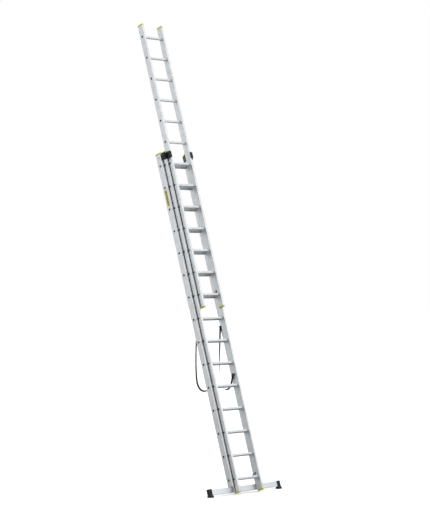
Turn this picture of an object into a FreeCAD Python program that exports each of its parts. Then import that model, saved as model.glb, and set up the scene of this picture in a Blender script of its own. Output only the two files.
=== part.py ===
"""Three-section combination ladder, as a parametric FreeCAD document.

Every piece is drawn in the ladder's own directions: x across, y from front to back, z up
the stiles, with z = 0 under the middle section's feet. At the end the whole ladder is
leaned back about x and stood with its rubber boots on the ground, which is z = 0.
"""
import FreeCAD, Part
import Sketcher
import math
import os

V = FreeCAD.Vector
doc = FreeCAD.newDocument("ladder")

# ---------------------------------------------------------------- driving dimensions, mm
DIMENSIONS = [
    ("lean_angle", 18.0), ("rung_pitch", 280.0), ("long_rungs", 15), ("short_rungs", 13),
    ("raised_rungs", 8), ("end_gap", 168.0),
    ("stile_depth", 84.0), ("stile_thick", 27.0), ("stile_wall", 1.6), ("stile_round", 4.0),
    ("rear_width", 470.0), ("middle_width", 406.0), ("front_width", 342.0),
    ("rear_back", 0.0), ("nest_step", 57.0),
    ("rung_side", 28.0), ("rung_wall", 1.6), ("rung_round", 4.0), ("rung_play", 0.2),
    ("flare_side", 34.0), ("flare_thick", 1.2),
    ("cap_tall", 22.0), ("cap_lip", 0.6), ("cap_round", 4.0), ("plug_long", 16.0),
    ("plug_play", 0.05), ("foot_tall", 18.0), ("shoe_tall", 67.0), ("rear_cut", 92.0),
    ("lap", 1.0),
    ("bar_long", 1160.0), ("bar_tall", 64.0), ("bar_deep", 30.0), ("bar_wall", 2.0),
    ("bar_front", 2.0), ("bar_low", 24.0),
    ("boot_wide", 56.0), ("boot_wall", 6.0), ("boot_flare", 5.0), ("boot_sole", 12.0),
    ("boot_skirt", 60.0), ("ground_level", 0.0), ("ground_drop", 7.0), ("ground_deep", 600.0),
    ("ground_tall", 200.0),
    ("saddle_wall", 4.0), ("saddle_wide", 48.0), ("saddle_reach", 50.0), ("tang_long", 40.0),
    ("tang_play", 0.2), ("bolt_radius", 4.0), ("bolt_head", 7.5), ("head_tall", 5.0),
    ("nut_tall", 2.0),
    ("hinge_up", 4196.0), ("bracket_tall", 76.0), ("bracket_low", 4156.0),
    ("web_thick", 2.5), ("web_reach", 36.0), ("web_tall", 84.0), ("lip_thick", 6.0), ("lip_wide", 20.0),
    ("cheek_wide", 26.0), ("cheek_deep", 40.0), ("side_gap", 0.5), ("slide_gap", 1.0),
    ("hinge_radius", 6.0), ("hinge_play", 0.05), ("pin_stand", 6.0), ("pin_head", 4.0),
    ("guide_thick", 2.6), ("guide_gap", 0.1), ("guide_reach", 43.0), ("guide_cheek", 18.0),
    ("guide_deep", 46.0), ("guide_back", 26.0),
    ("catch_thick", 6.0), ("catch_rise", 46.0), ("catch_fore", 26.0), ("catch_boss", 12.0),
    ("catch_pin", 4.0), ("catch_head", 4.5), ("catch_stand", 5.0), ("pin_play", 0.05),
    ("catch_gap", 4.0), ("spring_wire", 1.9), ("spring_play", 0.3),
    ("strap_wide", 25.0), ("strap_thick", 2.0), ("strap_stand", 8.0), ("eye_wall", 5.0),
    ("eye_play", 2.2),
    ("strap_up", 2040.0), ("strap_down", 1425.0), ("strap_back", 25.0), ("strap_fore", -44.0),
    ("label_long", 210.0), ("label_wide", 46.0), ("label_thick", 0.4), ("label_up", 3570.0),
    ("label_round", 8.0),
]
sheet = doc.addObject("Spreadsheet::Sheet", "dims")
for row, (alias, number) in enumerate(DIMENSIONS, start=1):
    sheet.set(f"A{row}", alias)
    sheet.set(f"B{row}", str(number))
    sheet.setAlias(f"B{row}", alias)
doc.recompute()
size = {alias: float(number) for alias, number in DIMENSIONS}
extra_cells = []


def worked_out(alias, expression):
    """Adds a cell that the sheet works out from the driving ones."""
    row = len(DIMENSIONS) + len(extra_cells) + 1
    extra_cells.append(alias)
    sheet.set(f"A{row}", alias)
    sheet.set(f"B{row}", "=" + expression)
    sheet.setAlias(f"B{row}", alias)


worked_out("long_top", "end_gap + (long_rungs - 1) * rung_pitch + end_gap")
worked_out("short_low", "raised_rungs * rung_pitch")
worked_out("short_top", "short_low + end_gap + (short_rungs - 1) * rung_pitch + end_gap")
worked_out("middle_back", "rear_back - nest_step")
worked_out("front_back", "middle_back - nest_step")
worked_out("rear_in", "rear_width / 2 - stile_thick")
worked_out("middle_in", "middle_width / 2 - stile_thick")
worked_out("front_in", "front_width / 2 - stile_thick")
worked_out("hole_side", "rung_side + rung_play")
worked_out("middle_low", "foot_tall + shoe_tall")
worked_out("plug_wide", "stile_thick - 2 * stile_wall - 2 * plug_play")
worked_out("plug_deep", "stile_depth - 2 * stile_wall - 2 * plug_play")
doc.recompute()


def value(alias):
    """The number that a cell of the sheet holds."""
    return float(sheet.get(alias))


def bind(obj, **expressions):
    """Ties properties to the sheet; a double underscore in a name stands for a full stop."""
    for name, expression in expressions.items():
        obj.setExpression(name.replace("__", "."), expression)


def cells(expression):
    """Puts the sheet's name before every cell in a short expression."""
    words = sorted(list(size) + extra_cells, key=len, reverse=True)
    out = ""
    spot = 0
    while spot < len(expression):
        for word in words:
            if expression.startswith(word, spot):
                out += "dims." + word
                spot += len(word)
                break
        else:
            out += expression[spot]
            spot += 1
    return out


def place(obj, x, y, z):
    """Ties an object's place to the sheet."""
    bind(obj, Placement__Base__x=cells(x), Placement__Base__y=cells(y),
         Placement__Base__z=cells(z))


def block(name, sizes, corner):
    """A box with its sizes and its low corner tied to the sheet."""
    obj = doc.addObject("Part::Box", name)
    bind(obj, Length=cells(sizes[0]), Width=cells(sizes[1]), Height=cells(sizes[2]))
    place(obj, *corner)
    return obj


def rod(name, radius, length, start, along="x"):
    """A cylinder from its start point along x, y or z."""
    obj = doc.addObject("Part::Cylinder", name)
    bind(obj, Radius=cells(radius), Height=cells(length))
    turn = {"x": (V(0, 1, 0), 90), "y": (V(1, 0, 0), -90), "z": (V(0, 0, 1), 0)}[along]
    obj.Placement = FreeCAD.Placement(V(0, 0, 0), FreeCAD.Rotation(*turn))
    place(obj, *start)
    return obj


def fuse(name, shapes):
    """One solid out of several that overlap."""
    obj = doc.addObject("Part::MultiFuse", name)
    obj.Shapes = shapes
    obj.Refine = True
    return obj


def group(name, shapes):
    """Several separate solids under one name."""
    obj = doc.addObject("Part::Compound", name)
    obj.Links = shapes
    return obj


def cut(name, base, tool):
    """The base with the tool's shape taken out of it."""
    obj = doc.addObject("Part::Cut", name)
    obj.Base = base
    obj.Tool = tool
    return obj


def soften(name, base, radius, pick):
    """Rounds the edges that pick() accepts."""
    doc.recompute()
    obj = doc.addObject("Part::Fillet", name)
    obj.Base = base
    obj.Edges = [(i, radius, radius) for i, edge in enumerate(base.Shape.Edges, 1) if pick(edge)]
    return obj


def runs_along(axis):
    """A test for straight edges that lie along the axis."""
    def pick(edge):
        ends = [v.Point for v in edge.Vertexes]
        if len(ends) != 2 or not isinstance(edge.Curve, Part.Line):
            return False
        return abs(abs((ends[1] - ends[0]).normalize().dot(axis)) - 1) < 1e-6
    return pick


nodes = []


def keep(obj, node):
    """Names a finished sub-part after its node."""
    obj.Label = node
    nodes.append(obj)
    return obj


# ---------------------------------------------------------------- PartDesign helpers
def new_body(name):
    """An empty PartDesign body, which may hold several solids."""
    body = doc.addObject("PartDesign::Body", name)
    body.AllowCompound = True
    return body


def plane_sketch(body, name, role, offset_z=None):
    """An empty sketch on one of the body's own planes."""
    sketch = body.newObject("Sketcher::SketchObject", name)
    plane = [p for p in body.Origin.OriginFeatures if p.Role == role][0]
    sketch.AttachmentSupport = [(plane, "")]
    sketch.MapMode = "FlatFace"
    if offset_z:
        sketch.setExpression("AttachmentOffset.Base.y", cells(offset_z))
    return sketch


def centred_rectangle(sketch, wide, tall, tag):
    """A rectangle centred on the sketch's origin, its two sides bound to the sheet."""
    first = sketch.GeometryCount
    corners = [V(-5, -5, 0), V(5, -5, 0), V(5, 5, 0), V(-5, 5, 0)]
    for i in range(4):
        sketch.addGeometry(Part.LineSegment(corners[i], corners[(i + 1) % 4]), False)
    for i in range(4):
        sketch.addConstraint(
            Sketcher.Constraint("Coincident", first + i, 2, first + (i + 1) % 4, 1))
    for i in (0, 2):
        sketch.addConstraint(Sketcher.Constraint("Horizontal", first + i))
    for i in (1, 3):
        sketch.addConstraint(Sketcher.Constraint("Vertical", first + i))
    sketch.addConstraint(
        Sketcher.Constraint("Symmetric", first, 1, first + 2, 1, -1, 1))
    for word, line, expression in (("wide", 0, wide), ("tall", 1, tall)):
        kind = "DistanceX" if word == "wide" else "DistanceY"
        index = sketch.addConstraint(
            Sketcher.Constraint(kind, first + line, 1, first + line, 2, 10.0))
        sketch.renameConstraint(index, f"{tag}_{word}")
        sketch.setExpression(f"Constraints.{tag}_{word}", cells(expression))


def pad(body, sketch, name, length, midplane=False):
    """A sketch drawn out into a solid."""
    feature = body.newObject("PartDesign::Pad", name)
    feature.Profile = sketch
    feature.Midplane = midplane
    feature.setExpression("Length", cells(length))
    return feature


def pocket(body, sketch, name, length):
    """A sketch cut through the body, to both sides of its plane."""
    feature = body.newObject("PartDesign::Pocket", name)
    feature.Profile = sketch
    feature.Midplane = True
    feature.setExpression("Length", cells(length))
    return feature


def round_long_edges(body, base, name, axis, radius, reach):
    """Rounds the long edges that lie at the outside of the profile."""
    doc.recompute()
    fillet = body.newObject("PartDesign::Fillet", name)
    names = []
    for i, edge in enumerate(base.Shape.Edges, 1):
        if runs_along(axis)(edge) and reach(edge.CenterOfMass):
            names.append(f"Edge{i}")
    fillet.Base = (base, names)
    fillet.setExpression("Radius", cells(radius))
    return fillet


def pattern(body, originals, sketch, name, count):
    """Repeats features up the ladder, one rung pitch apart."""
    feature = body.newObject("PartDesign::LinearPattern", name)
    feature.Originals = originals
    feature.Direction = (sketch, ["V_Axis"])
    feature.Occurrences = int(value(count))
    feature.setExpression("Occurrences", cells(count))
    feature.setExpression("Length", cells(f"({count} - 1) * rung_pitch"))
    body.Tip = feature
    return feature


# ---------------------------------------------------------------- the three sections
SECTIONS = {
    # name: outer width, inner face, y, stile's low end, its top, lowest rung, rungs, full top
    "rear": ("rear_width", "rear_in", "rear_back", "rear_cut", "long_top - cap_tall",
             "end_gap", "long_rungs", "long_top"),
    "middle": ("middle_width", "middle_in", "middle_back", "middle_low", "long_top - cap_tall",
               "end_gap", "long_rungs", "long_top"),
    "front": ("front_width", "front_in", "front_back", "short_low + foot_tall",
              "short_top - cap_tall", "short_low + end_gap", "short_rungs", "short_top"),
}
SIDES = {"left": -1, "right": 1}
FOOT_LEVEL = {"middle": "ground_level", "front": "short_low"}
EDGE_REACH = 0.01  # how near a face an edge lies to count as on it


def make_stile(section, side):
    """A box-section aluminium stile with a square hole for each rung end."""
    width, _, back, low, top, first, count, _ = SECTIONS[section]
    name = f"{section}_stile_{side}"
    body = new_body(name)
    outline = plane_sketch(body, name + "_outline", "XY_Plane")
    centred_rectangle(outline, "stile_thick", "stile_depth", "outer")
    centred_rectangle(outline, "stile_thick - 2 * stile_wall",
                      "stile_depth - 2 * stile_wall", "inner")
    tube = pad(body, outline, name + "_tube", f"{top} - ({low})")
    half_x = size["stile_thick"] / 2 - EDGE_REACH
    half_y = size["stile_depth"] / 2 - EDGE_REACH
    round_long_edges(body, tube, name + "_round", V(0, 0, 1), "stile_round",
                     lambda p: abs(p.x) > half_x and abs(p.y) > half_y)
    hole = plane_sketch(body, name + "_hole", "YZ_Plane", f"{first} - ({low})")
    centred_rectangle(hole, "hole_side", "hole_side", "hole")
    punched = pocket(body, hole, name + "_punched", "4 * stile_thick")
    pattern(body, [punched], hole, name + "_holes", count)
    sign = SIDES[side]
    place(body, f"{sign} * ({width} / 2 - stile_thick / 2)", back, low)
    return keep(body, name)


def make_rungs(section):
    """Square tube rungs with a grooved tread, each end flared over the stile's outside."""
    width, _, back, _, _, first, count, _ = SECTIONS[section]
    name = f"{section}_rungs"
    body = new_body(name)
    profile = plane_sketch(body, name + "_profile", "YZ_Plane")
    centred_rectangle(profile, "rung_side", "rung_side", "outer")
    centred_rectangle(profile, "rung_side - 2 * rung_wall", "rung_side - 2 * rung_wall", "inner")
    pad(body, profile, name + "_tube", f"{width} + 2 * flare_thick", midplane=True)
    ring = plane_sketch(body, name + "_ring", "YZ_Plane")
    centred_rectangle(ring, "flare_side", "flare_side", "outer")
    centred_rectangle(ring, "rung_side - 2 * rung_wall", "rung_side - 2 * rung_wall", "inner")
    pad(body, ring, name + "_flare", f"{width} + 2 * flare_thick", midplane=True)
    waist = plane_sketch(body, name + "_waist", "YZ_Plane")
    centred_rectangle(waist, "2 * flare_side", "2 * flare_side", "outer")
    centred_rectangle(waist, "rung_side", "rung_side", "inner")
    trimmed = pocket(body, waist, name + "_trimmed", width)
    half_side = size["rung_side"] / 2
    round_long_edges(
        body, trimmed, name + "_round", V(1, 0, 0), "rung_round",
        lambda p: abs(abs(p.y) - half_side) < EDGE_REACH and abs(abs(p.z) - half_side) < EDGE_REACH)
    rows = pattern(body, [], ring, name + "_rows", count)
    rows.TransformMode = "Whole shape"
    place(body, "0 mm", back, first)
    return keep(body, name)


def across(side, start, length):
    """The low x of something that spans start to start + length outwards on one side."""
    if SIDES[side] > 0:
        return start
    return f"-({start}) - ({length})"


def plug_block(name, inner, back, low, tall, side):
    """The block that fills a stile's tube, or the shoe's socket."""
    return block(name, ("plug_wide", "plug_deep", tall),
                 (across(side, f"{inner} + stile_wall + plug_play", "plug_wide"),
                  f"{back} - plug_deep / 2", low))


def end_block(name, inner, back, low, tall, side):
    """A block as wide as the stile and a lip deeper than it."""
    deep = "(stile_depth + 2 * cap_lip)"
    return block(name, ("stile_thick", deep, tall),
                 (across(side, inner, "stile_thick"), f"{back} - {deep} / 2", low))


def make_cap(section, side):
    """A plastic cap over the stile's top, with a plug inside the tube."""
    _, inner, back, _, top, _, _, _ = SECTIONS[section]
    name = f"{section}_cap_{side}"
    lid = end_block(name + "_lid", inner, back, top, "cap_tall", side)
    plug = plug_block(name + "_plug", inner, back, f"{top} - plug_long", "plug_long + lap", side)
    doc.recompute()
    high = lid.Shape.BoundBox.ZMax - EDGE_REACH
    crown = soften(name + "_crown", lid, size["cap_round"], lambda e: e.CenterOfMass.z > high)
    return keep(fuse(name + "_shape", [crown, plug]), name)


def make_foot(section, side):
    """A plastic foot with a rounded sole, and a plug up into what it stands under."""
    _, inner, back, _, _, _, _, _ = SECTIONS[section]
    low = FOOT_LEVEL[section]
    name = f"{section}_foot_{side}"
    sole = end_block(name + "_sole", inner, back, low, "foot_tall", side)
    plug = plug_block(name + "_plug", inner, back, f"{low} + foot_tall - lap",
                      "plug_long + lap", side)
    doc.recompute()
    bottom = sole.Shape.BoundBox.ZMin + EDGE_REACH
    tread = soften(name + "_tread", sole, size["cap_round"], lambda e: e.CenterOfMass.z < bottom)
    return keep(fuse(name + "_shape", [tread, plug]), name)


def make_shoe(side):
    """The pale block between the middle stile's low end and its foot, with a socket below."""
    _, inner, back, low, _, _, _, _ = SECTIONS["middle"]
    name = f"middle_shoe_{side}"
    outer = end_block(name + "_outer", inner, back, "foot_tall", "shoe_tall", side)
    plug = plug_block(name + "_plug", inner, back, f"{low} - lap", "plug_long + lap", side)
    socket = block(name + "_socket",
                   ("plug_wide + 2 * plug_play", "plug_deep + 2 * plug_play", "plug_long + 2 * lap"),
                   (across(side, f"{inner} + stile_wall", "plug_wide + 2 * plug_play"),
                    f"{back} - plug_deep / 2 - plug_play", "foot_tall - lap"))
    solid = fuse(name + "_solid", [outer, plug])
    return keep(cut(name + "_shape", solid, socket), name)


for section in SECTIONS:
    for side in SIDES:
        make_stile(section, side)
        make_cap(section, side)
        if section != "rear":
            make_foot(section, side)
    make_rungs(section)
for side in SIDES:
    make_shoe(side)


# ---------------------------------------------------------------- stabiliser bar
def make_bar():
    """A rectangular tube across the ladder's foot."""
    outer = block("bar_outer", ("bar_long", "bar_deep", "bar_tall"),
                  ("-bar_long / 2", "bar_front", "bar_low"))
    inner = block("bar_inner",
                  ("bar_long + 2 * lap", "bar_deep - 2 * bar_wall", "bar_tall - 2 * bar_wall"),
                  ("-bar_long / 2 - lap", "bar_front + bar_wall", "bar_low + bar_wall"))
    return keep(cut("bar_shape", outer, inner), "stabiliser_bar")


def ground_knife(name):
    """Everything under the ground, as a block that is upright when the ladder leans."""
    knife = doc.addObject("Part::Box", name)
    bind(knife, Length=cells("2 * bar_long"), Width=cells("ground_deep"),
         Height=cells("ground_tall"))
    turn = FreeCAD.Rotation(V(1, 0, 0), size["lean_angle"])
    corner = V(-size["bar_long"], -size["ground_deep"] / 2, -size["ground_tall"] - size["ground_drop"])
    knife.Placement = FreeCAD.Placement(turn.multVec(corner), turn)
    return knife


def make_boot(side):
    """A rubber boot pushed over the bar's end, its flared sole flat on the ground."""
    name = f"bar_boot_{side}"
    start = "bar_long / 2 - boot_wide + boot_wall"
    deep = "bar_deep + 2 * boot_wall"
    sleeve = block(name + "_sleeve",
                   ("boot_wide", deep, "bar_tall + 2 * boot_wall + boot_sole"),
                   (across(side, start, "boot_wide"), "bar_front - boot_wall",
                    "bar_low - boot_wall - boot_sole"))
    base = block(name + "_base",
                 ("boot_wide + 2 * boot_flare", f"{deep} + 2 * boot_flare", "boot_skirt"),
                 (across(side, f"{start} - boot_flare", "boot_wide + 2 * boot_flare"),
                  "bar_front - boot_wall - boot_flare", "bar_low - boot_wall - boot_skirt"))
    body = fuse(name + "_body", [sleeve, base])
    hollow = block(name + "_hollow", ("boot_wide - boot_wall", "bar_deep", "bar_tall"),
                   (across(side, start, "boot_wide - boot_wall"), "bar_front", "bar_low"))
    cupped = cut(name + "_cupped", body, hollow)
    return keep(cut(name + "_shape", cupped, ground_knife(name + "_ground")), name)


def make_saddle(side):
    """A light-alloy saddle that hangs the bar under the stile, with a tang up inside it."""
    name = f"saddle_{side}"
    start = "rear_in + stile_thick / 2 - saddle_wide / 2"
    deep = "bar_deep + 2 * saddle_wall"
    outer = block(name + "_outer", ("saddle_wide", deep, "saddle_reach + saddle_wall"),
                  (across(side, start, "saddle_wide"), "bar_front - saddle_wall",
                   "rear_cut - saddle_wall - saddle_reach"))
    notch = block(name + "_notch", ("saddle_wide + 2 * lap", "bar_deep", "saddle_reach + lap"),
                  (across(side, f"{start} - lap", "saddle_wide + 2 * lap"), "bar_front",
                   "rear_cut - saddle_wall - saddle_reach - lap"))
    saddle = cut(name + "_cut", outer, notch)
    tang_wide = "stile_thick - 2 * stile_wall - 2 * tang_play"
    tang = block(name + "_tang", (tang_wide, "bar_deep", "tang_long + lap"),
                 (across(side, "rear_in + stile_wall + tang_play", tang_wide), "bar_front",
                  "rear_cut - lap"))
    return keep(fuse(name + "_shape", [saddle, tang]), name)


make_bar()
for side in SIDES:
    make_boot(side)
    make_saddle(side)

# ---------------------------------------------------------------- hinge and guide brackets
def make_hinge_bracket(side):
    """A black steel channel that hangs on the rear stile's top and holds the middle stile."""
    name = f"hinge_bracket_{side}"
    web_start = "rear_in - side_gap - web_thick"
    low_y = "middle_back - stile_depth / 2 - slide_gap - lip_thick"
    web = block(name + "_web", ("web_thick", f"web_reach - ({low_y})", "web_tall"),
                (across(side, web_start, "web_thick"), low_y, "bracket_low"))
    lip = block(name + "_lip", ("lip_wide", "lip_thick", "bracket_tall"),
                (across(side, f"{web_start} + web_thick - lip_wide", "lip_wide"), low_y,
                 "bracket_low"))
    cheek = block(name + "_cheek", ("cheek_wide", "cheek_deep", "bracket_tall"),
                  (across(side, f"{web_start} + lap", "cheek_wide"), low_y, "bracket_low"))
    body = fuse(name + "_body", [web, lip, cheek])
    bore = rod(name + "_bore", "hinge_radius + hinge_play", "bracket_tall",
               (across(side, f"{web_start} - lip_wide", "bracket_tall"), "0 mm", "hinge_up"))
    return keep(cut(name + "_shape", body, bore), name)


def make_hinge_pin(side):
    """The pin through the rear stile's top on which the bracket turns."""
    name = f"hinge_pin_{side}"
    start = "rear_in - side_gap - web_thick - pin_stand"
    reach = "stile_thick + side_gap + web_thick + pin_stand"
    shaft = rod(name + "_shaft", "hinge_radius", reach,
                (across(side, start, reach), "0 mm", "hinge_up"))
    head = rod(name + "_head", "hinge_radius + pin_head", "pin_head",
               (across(side, "rear_width / 2", "pin_head"), "0 mm", "hinge_up"))
    clip = rod(name + "_clip", "hinge_radius + pin_head", "pin_head",
               (across(side, start, "pin_head"), "0 mm", "hinge_up"))
    return keep(fuse(name + "_shape", [shaft, head, clip]), name)


def make_front_guide(side):
    """A black channel on the middle stile's top that the front stile slides in."""
    name = f"front_guide_{side}"
    web_start = "middle_in - guide_gap - guide_thick"
    front_y = "front_back - stile_depth / 2 - slide_gap - lip_thick"
    rear_y = "front_back + stile_depth / 2 + slide_gap"
    web = block(name + "_web",
                ("guide_thick", f"lip_thick + guide_reach + {rear_y} - ({front_y})", "web_tall"),
                (across(side, web_start, "guide_thick"), front_y, "bracket_low"))
    lip = block(name + "_lip", ("lip_wide", "lip_thick", "bracket_tall"),
                (across(side, f"{web_start} + guide_thick - lip_wide", "lip_wide"), front_y,
                 "bracket_low"))
    cheek = block(name + "_cheek", ("guide_cheek", "guide_deep", "bracket_tall"),
                  (across(side, f"{web_start} + lap", "guide_cheek"), front_y, "bracket_low"))
    back_lip = block(name + "_back", ("guide_back", "lip_thick", "bracket_tall"),
                     (across(side, f"{web_start} + guide_thick - guide_back", "guide_back"),
                      rear_y, "bracket_low"))
    return keep(fuse(name + "_shape", [web, lip, cheek, back_lip]), name)


for side in SIDES:
    make_hinge_bracket(side)
    make_hinge_pin(side)
    make_front_guide(side)


# ---------------------------------------------------------------- rung catches
# ---------------------------------------------------------------- rung catches
CATCHES = {
    # section: y of the rung that it rests on, inner face
    "middle": ("rear_back", "middle_in"),
    "front": ("middle_back", "front_in"),
}
HOOK_TIP = 18.0     # how far the hook reaches down behind the rung
HOOK_THICK = 7.0
HOOK_RISE = 10.0
ARM_DEEP = 16.0
TOP_PLAY = 0.5      # between the hook and the rung's top
BACK_PLAY = 1.0     # between the hook and the rung's back


def catch_axis(section):
    """The y and z of a catch's pin: in front of the rung that it rests on, and above it."""
    rung_front = value(CATCHES[section][0]) - size["rung_side"] / 2
    rung_z = value(FOOT_LEVEL[section]) + size["end_gap"]
    return rung_front - size["catch_fore"], rung_z + size["catch_rise"]


def make_catch(section, side):
    """A hook on the section's stile that rests on the rung behind it.

    It swings up and forward on its pin, clear of that rung."""
    rung_back, inner = CATCHES[section]
    name = f"{section}_catch_{side}"
    pin_y, pin_z = catch_axis(section)
    rung_y = value(rung_back)
    top = pin_z - size["catch_rise"] + size["rung_side"] / 2
    boss = size["catch_boss"]
    back = rung_y + size["rung_side"] / 2 + BACK_PLAY
    outline = [
        V(0, back, top - HOOK_TIP), V(0, back + HOOK_THICK, top - HOOK_TIP),
        V(0, back + HOOK_THICK, top + HOOK_RISE), V(0, pin_y + ARM_DEEP, pin_z + 0.75 * boss),
        V(0, pin_y, pin_z + boss), V(0, pin_y - boss, pin_z), V(0, pin_y, pin_z - boss),
        V(0, rung_y - boss, top + TOP_PLAY), V(0, back, top + TOP_PLAY)]
    face = Part.Face(Part.makePolygon(outline + outline[:1]))
    plate = face.extrude(V(size["catch_thick"], 0, 0))
    low_x = value(inner) - size["catch_gap"] - size["catch_thick"]
    if SIDES[side] < 0:
        low_x = -value(inner) + size["catch_gap"]
    plate.translate(V(low_x, 0, 0))
    bore = Part.makeCylinder(size["catch_pin"] + size["pin_play"], 3 * size["catch_thick"],
                             V(low_x - size["catch_thick"], pin_y, pin_z), V(1, 0, 0))
    hook = doc.addObject("Part::Feature", name)
    hook.Shape = plate.cut(bore)
    return keep(hook, name)


def make_catch_pin(section, side):
    """The shouldered pin in the stile that the catch turns on."""
    inner = CATCHES[section][1]
    name = f"{section}_catch_pin_{side}"
    pin_y, pin_z = catch_axis(section)
    start = f"{inner} - catch_gap - catch_thick - catch_stand"
    reach = "catch_gap + catch_thick + catch_stand + stile_wall"
    shaft = rod(name + "_shaft", "catch_pin", reach,
                (across(side, start, reach), str(pin_y), str(pin_z)))
    head = rod(name + "_head", "catch_pin + stile_wall", "catch_head",
               (across(side, start, "catch_head"), str(pin_y), str(pin_z)))
    return keep(fuse(name + "_shape", [shaft, head]), name)


def make_catch_spring(section, side):
    """The torsion spring that sits round the catch's pin, between hook and stile."""
    inner = CATCHES[section][1]
    name = f"{section}_catch_spring_{side}"
    pin_y, pin_z = catch_axis(section)
    reach = "catch_gap - 2 * tang_play"
    coil = rod(name + "_coil", "catch_pin + spring_play + spring_wire", reach,
               (across(side, f"{inner} - catch_gap + tang_play", reach), str(pin_y), str(pin_z)))
    eye = rod(name + "_eye", "catch_pin + spring_play", "2 * catch_gap",
              (across(side, f"{inner} - 1.5 * catch_gap", "2 * catch_gap"), str(pin_y), str(pin_z)))
    return keep(cut(name + "_shape", coil, eye), name)


for side in SIDES:
    for section in CATCHES:
        make_catch(section, side)
        make_catch_pin(section, side)
        make_catch_spring(section, side)


def make_saddle_bolts():
    """A bolt through each saddle and the bar, and one through each stile and its tang."""
    pieces = []
    for side in SIDES:
        middle = "rear_in + stile_thick / 2"
        x = middle if SIDES[side] > 0 else f"-({middle})"
        front = "bar_front - saddle_wall - head_tall"
        reach = "bar_deep + 2 * saddle_wall + 2 * head_tall"
        height = "bar_low + bar_tall / 2"
        name = f"bar_bolt_{side}"
        shaft = rod(name + "_shaft", "bolt_radius", reach, (x, front, height), "y")
        head = rod(name + "_head", "bolt_head", "head_tall", (x, front, height), "y")
        nut = rod(name + "_nut", "bolt_head", "head_tall",
                  (x, "bar_front + bar_deep + saddle_wall", height), "y")
        pieces.append(fuse(name, [shaft, head, nut]))
        name = f"tang_bolt_{side}"
        y = "bar_front + bar_deep / 2"
        z = "rear_cut + tang_long / 2"
        reach = "stile_thick + head_tall + nut_tall"
        shaft = rod(name + "_shaft", "bolt_radius", reach,
                    (across(side, "rear_in - nut_tall", reach), y, z))
        head = rod(name + "_head", "bolt_head", "head_tall",
                   (across(side, "rear_width / 2", "head_tall"), y, z))
        nut = rod(name + "_nut", "bolt_head", "nut_tall",
                  (across(side, "rear_in - nut_tall", "nut_tall"), y, z))
        pieces.append(fuse(name, [shaft, head, nut]))
    return keep(group("saddle_bolts_group", pieces), "saddle_bolts")


def make_strap_pin(section, side, y, z):
    """The shouldered pin on the stile's inner face that holds a strap's sewn eye."""
    inner = SECTIONS[section][1]
    name = f"strap_pin_{section}_{side}"
    reach = "strap_wide + strap_stand + stile_wall"
    start = f"{inner} - strap_wide - strap_stand"
    shaft = rod(name + "_shaft", "bolt_radius", reach, (across(side, start, reach), y, z))
    head = rod(name + "_head", "bolt_head", "nut_tall", (across(side, start, "nut_tall"), y, z))
    return keep(fuse(name + "_shape", [shaft, head]), name)


def make_label():
    """A generic printed label on the rear stile's outer face."""
    plate = block("label_plate", ("label_thick", "label_wide", "label_long"),
                  ("-rear_width / 2 - label_thick", "-label_wide / 2", "label_up"))
    doc.recompute()
    rounded = soften("label_shape", plate, size["label_round"], runs_along(V(1, 0, 0)))
    return keep(rounded, "information_label")


for side in SIDES:
    make_strap_pin("rear", side, "strap_back", "strap_up")
    make_strap_pin("middle", side, "strap_fore", "strap_down")
make_saddle_bolts()
make_label()


# ---------------------------------------------------------------- spreader straps
# The right-hand strap's route, in the stood ladder's frame: from the rear stile's pin it
# hangs straight down behind the ladder, swings round in a loop and comes up over the
# rear rung to the middle stile's pin. The left-hand one is its mirror image.
STRAP_ROUTE = [
    (193.6, -181.7, 1931), (193.8, -179, 1845), (194.1, -175, 1730), (194.3, -171, 1605),
    (194.3, -171, 1478), (194.0, -176, 1362), (192.4, -192, 1258), (187.9, -233, 1198),
    (179.2, -300, 1175), (170.7, -366, 1197), (165.6, -405, 1253), (163.2, -424, 1312),
    (161.5, -437.3, 1368),
]


def strap_line(points):
    """Straight runs joined by tangent arcs as large as the runs allow."""
    edges = []
    radii = []
    here = points[0]
    for i in range(1, len(points) - 1):
        back = points[i - 1] - points[i]
        onward = points[i + 1] - points[i]
        half_turn = (math.pi - back.getAngle(onward)) / 2
        cut_back = 0.45 * min(back.Length, onward.Length)
        radii.append(cut_back / math.tan(half_turn))
        start = points[i] + back.normalize() * cut_back
        end = points[i] + onward.normalize() * cut_back
        bisector = (back + onward).normalize()
        middle = points[i] + bisector * (radii[-1] / math.cos(half_turn) - radii[-1])
        edges.append(Part.LineSegment(here, start).toShape())
        edges.append(Part.Arc(start, middle, end).toShape())
        here = end
    edges.append(Part.LineSegment(here, points[-1]).toShape())
    return Part.Wire(edges), radii


def strap_points():
    """The route laid in one upright plane through its two ends, and that plane's directions."""
    first, last = V(*STRAP_ROUTE[0]), V(*STRAP_ROUTE[-1])
    flat = V(last.x - first.x, last.y - first.y, 0).normalize()
    points = []
    for x, y, z in STRAP_ROUTE:
        run = V(x - first.x, y - first.y, 0).dot(flat)
        points.append(V(first.x, first.y, z) + flat * run)
    return points, flat, flat.cross(V(0, 0, 1))


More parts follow.
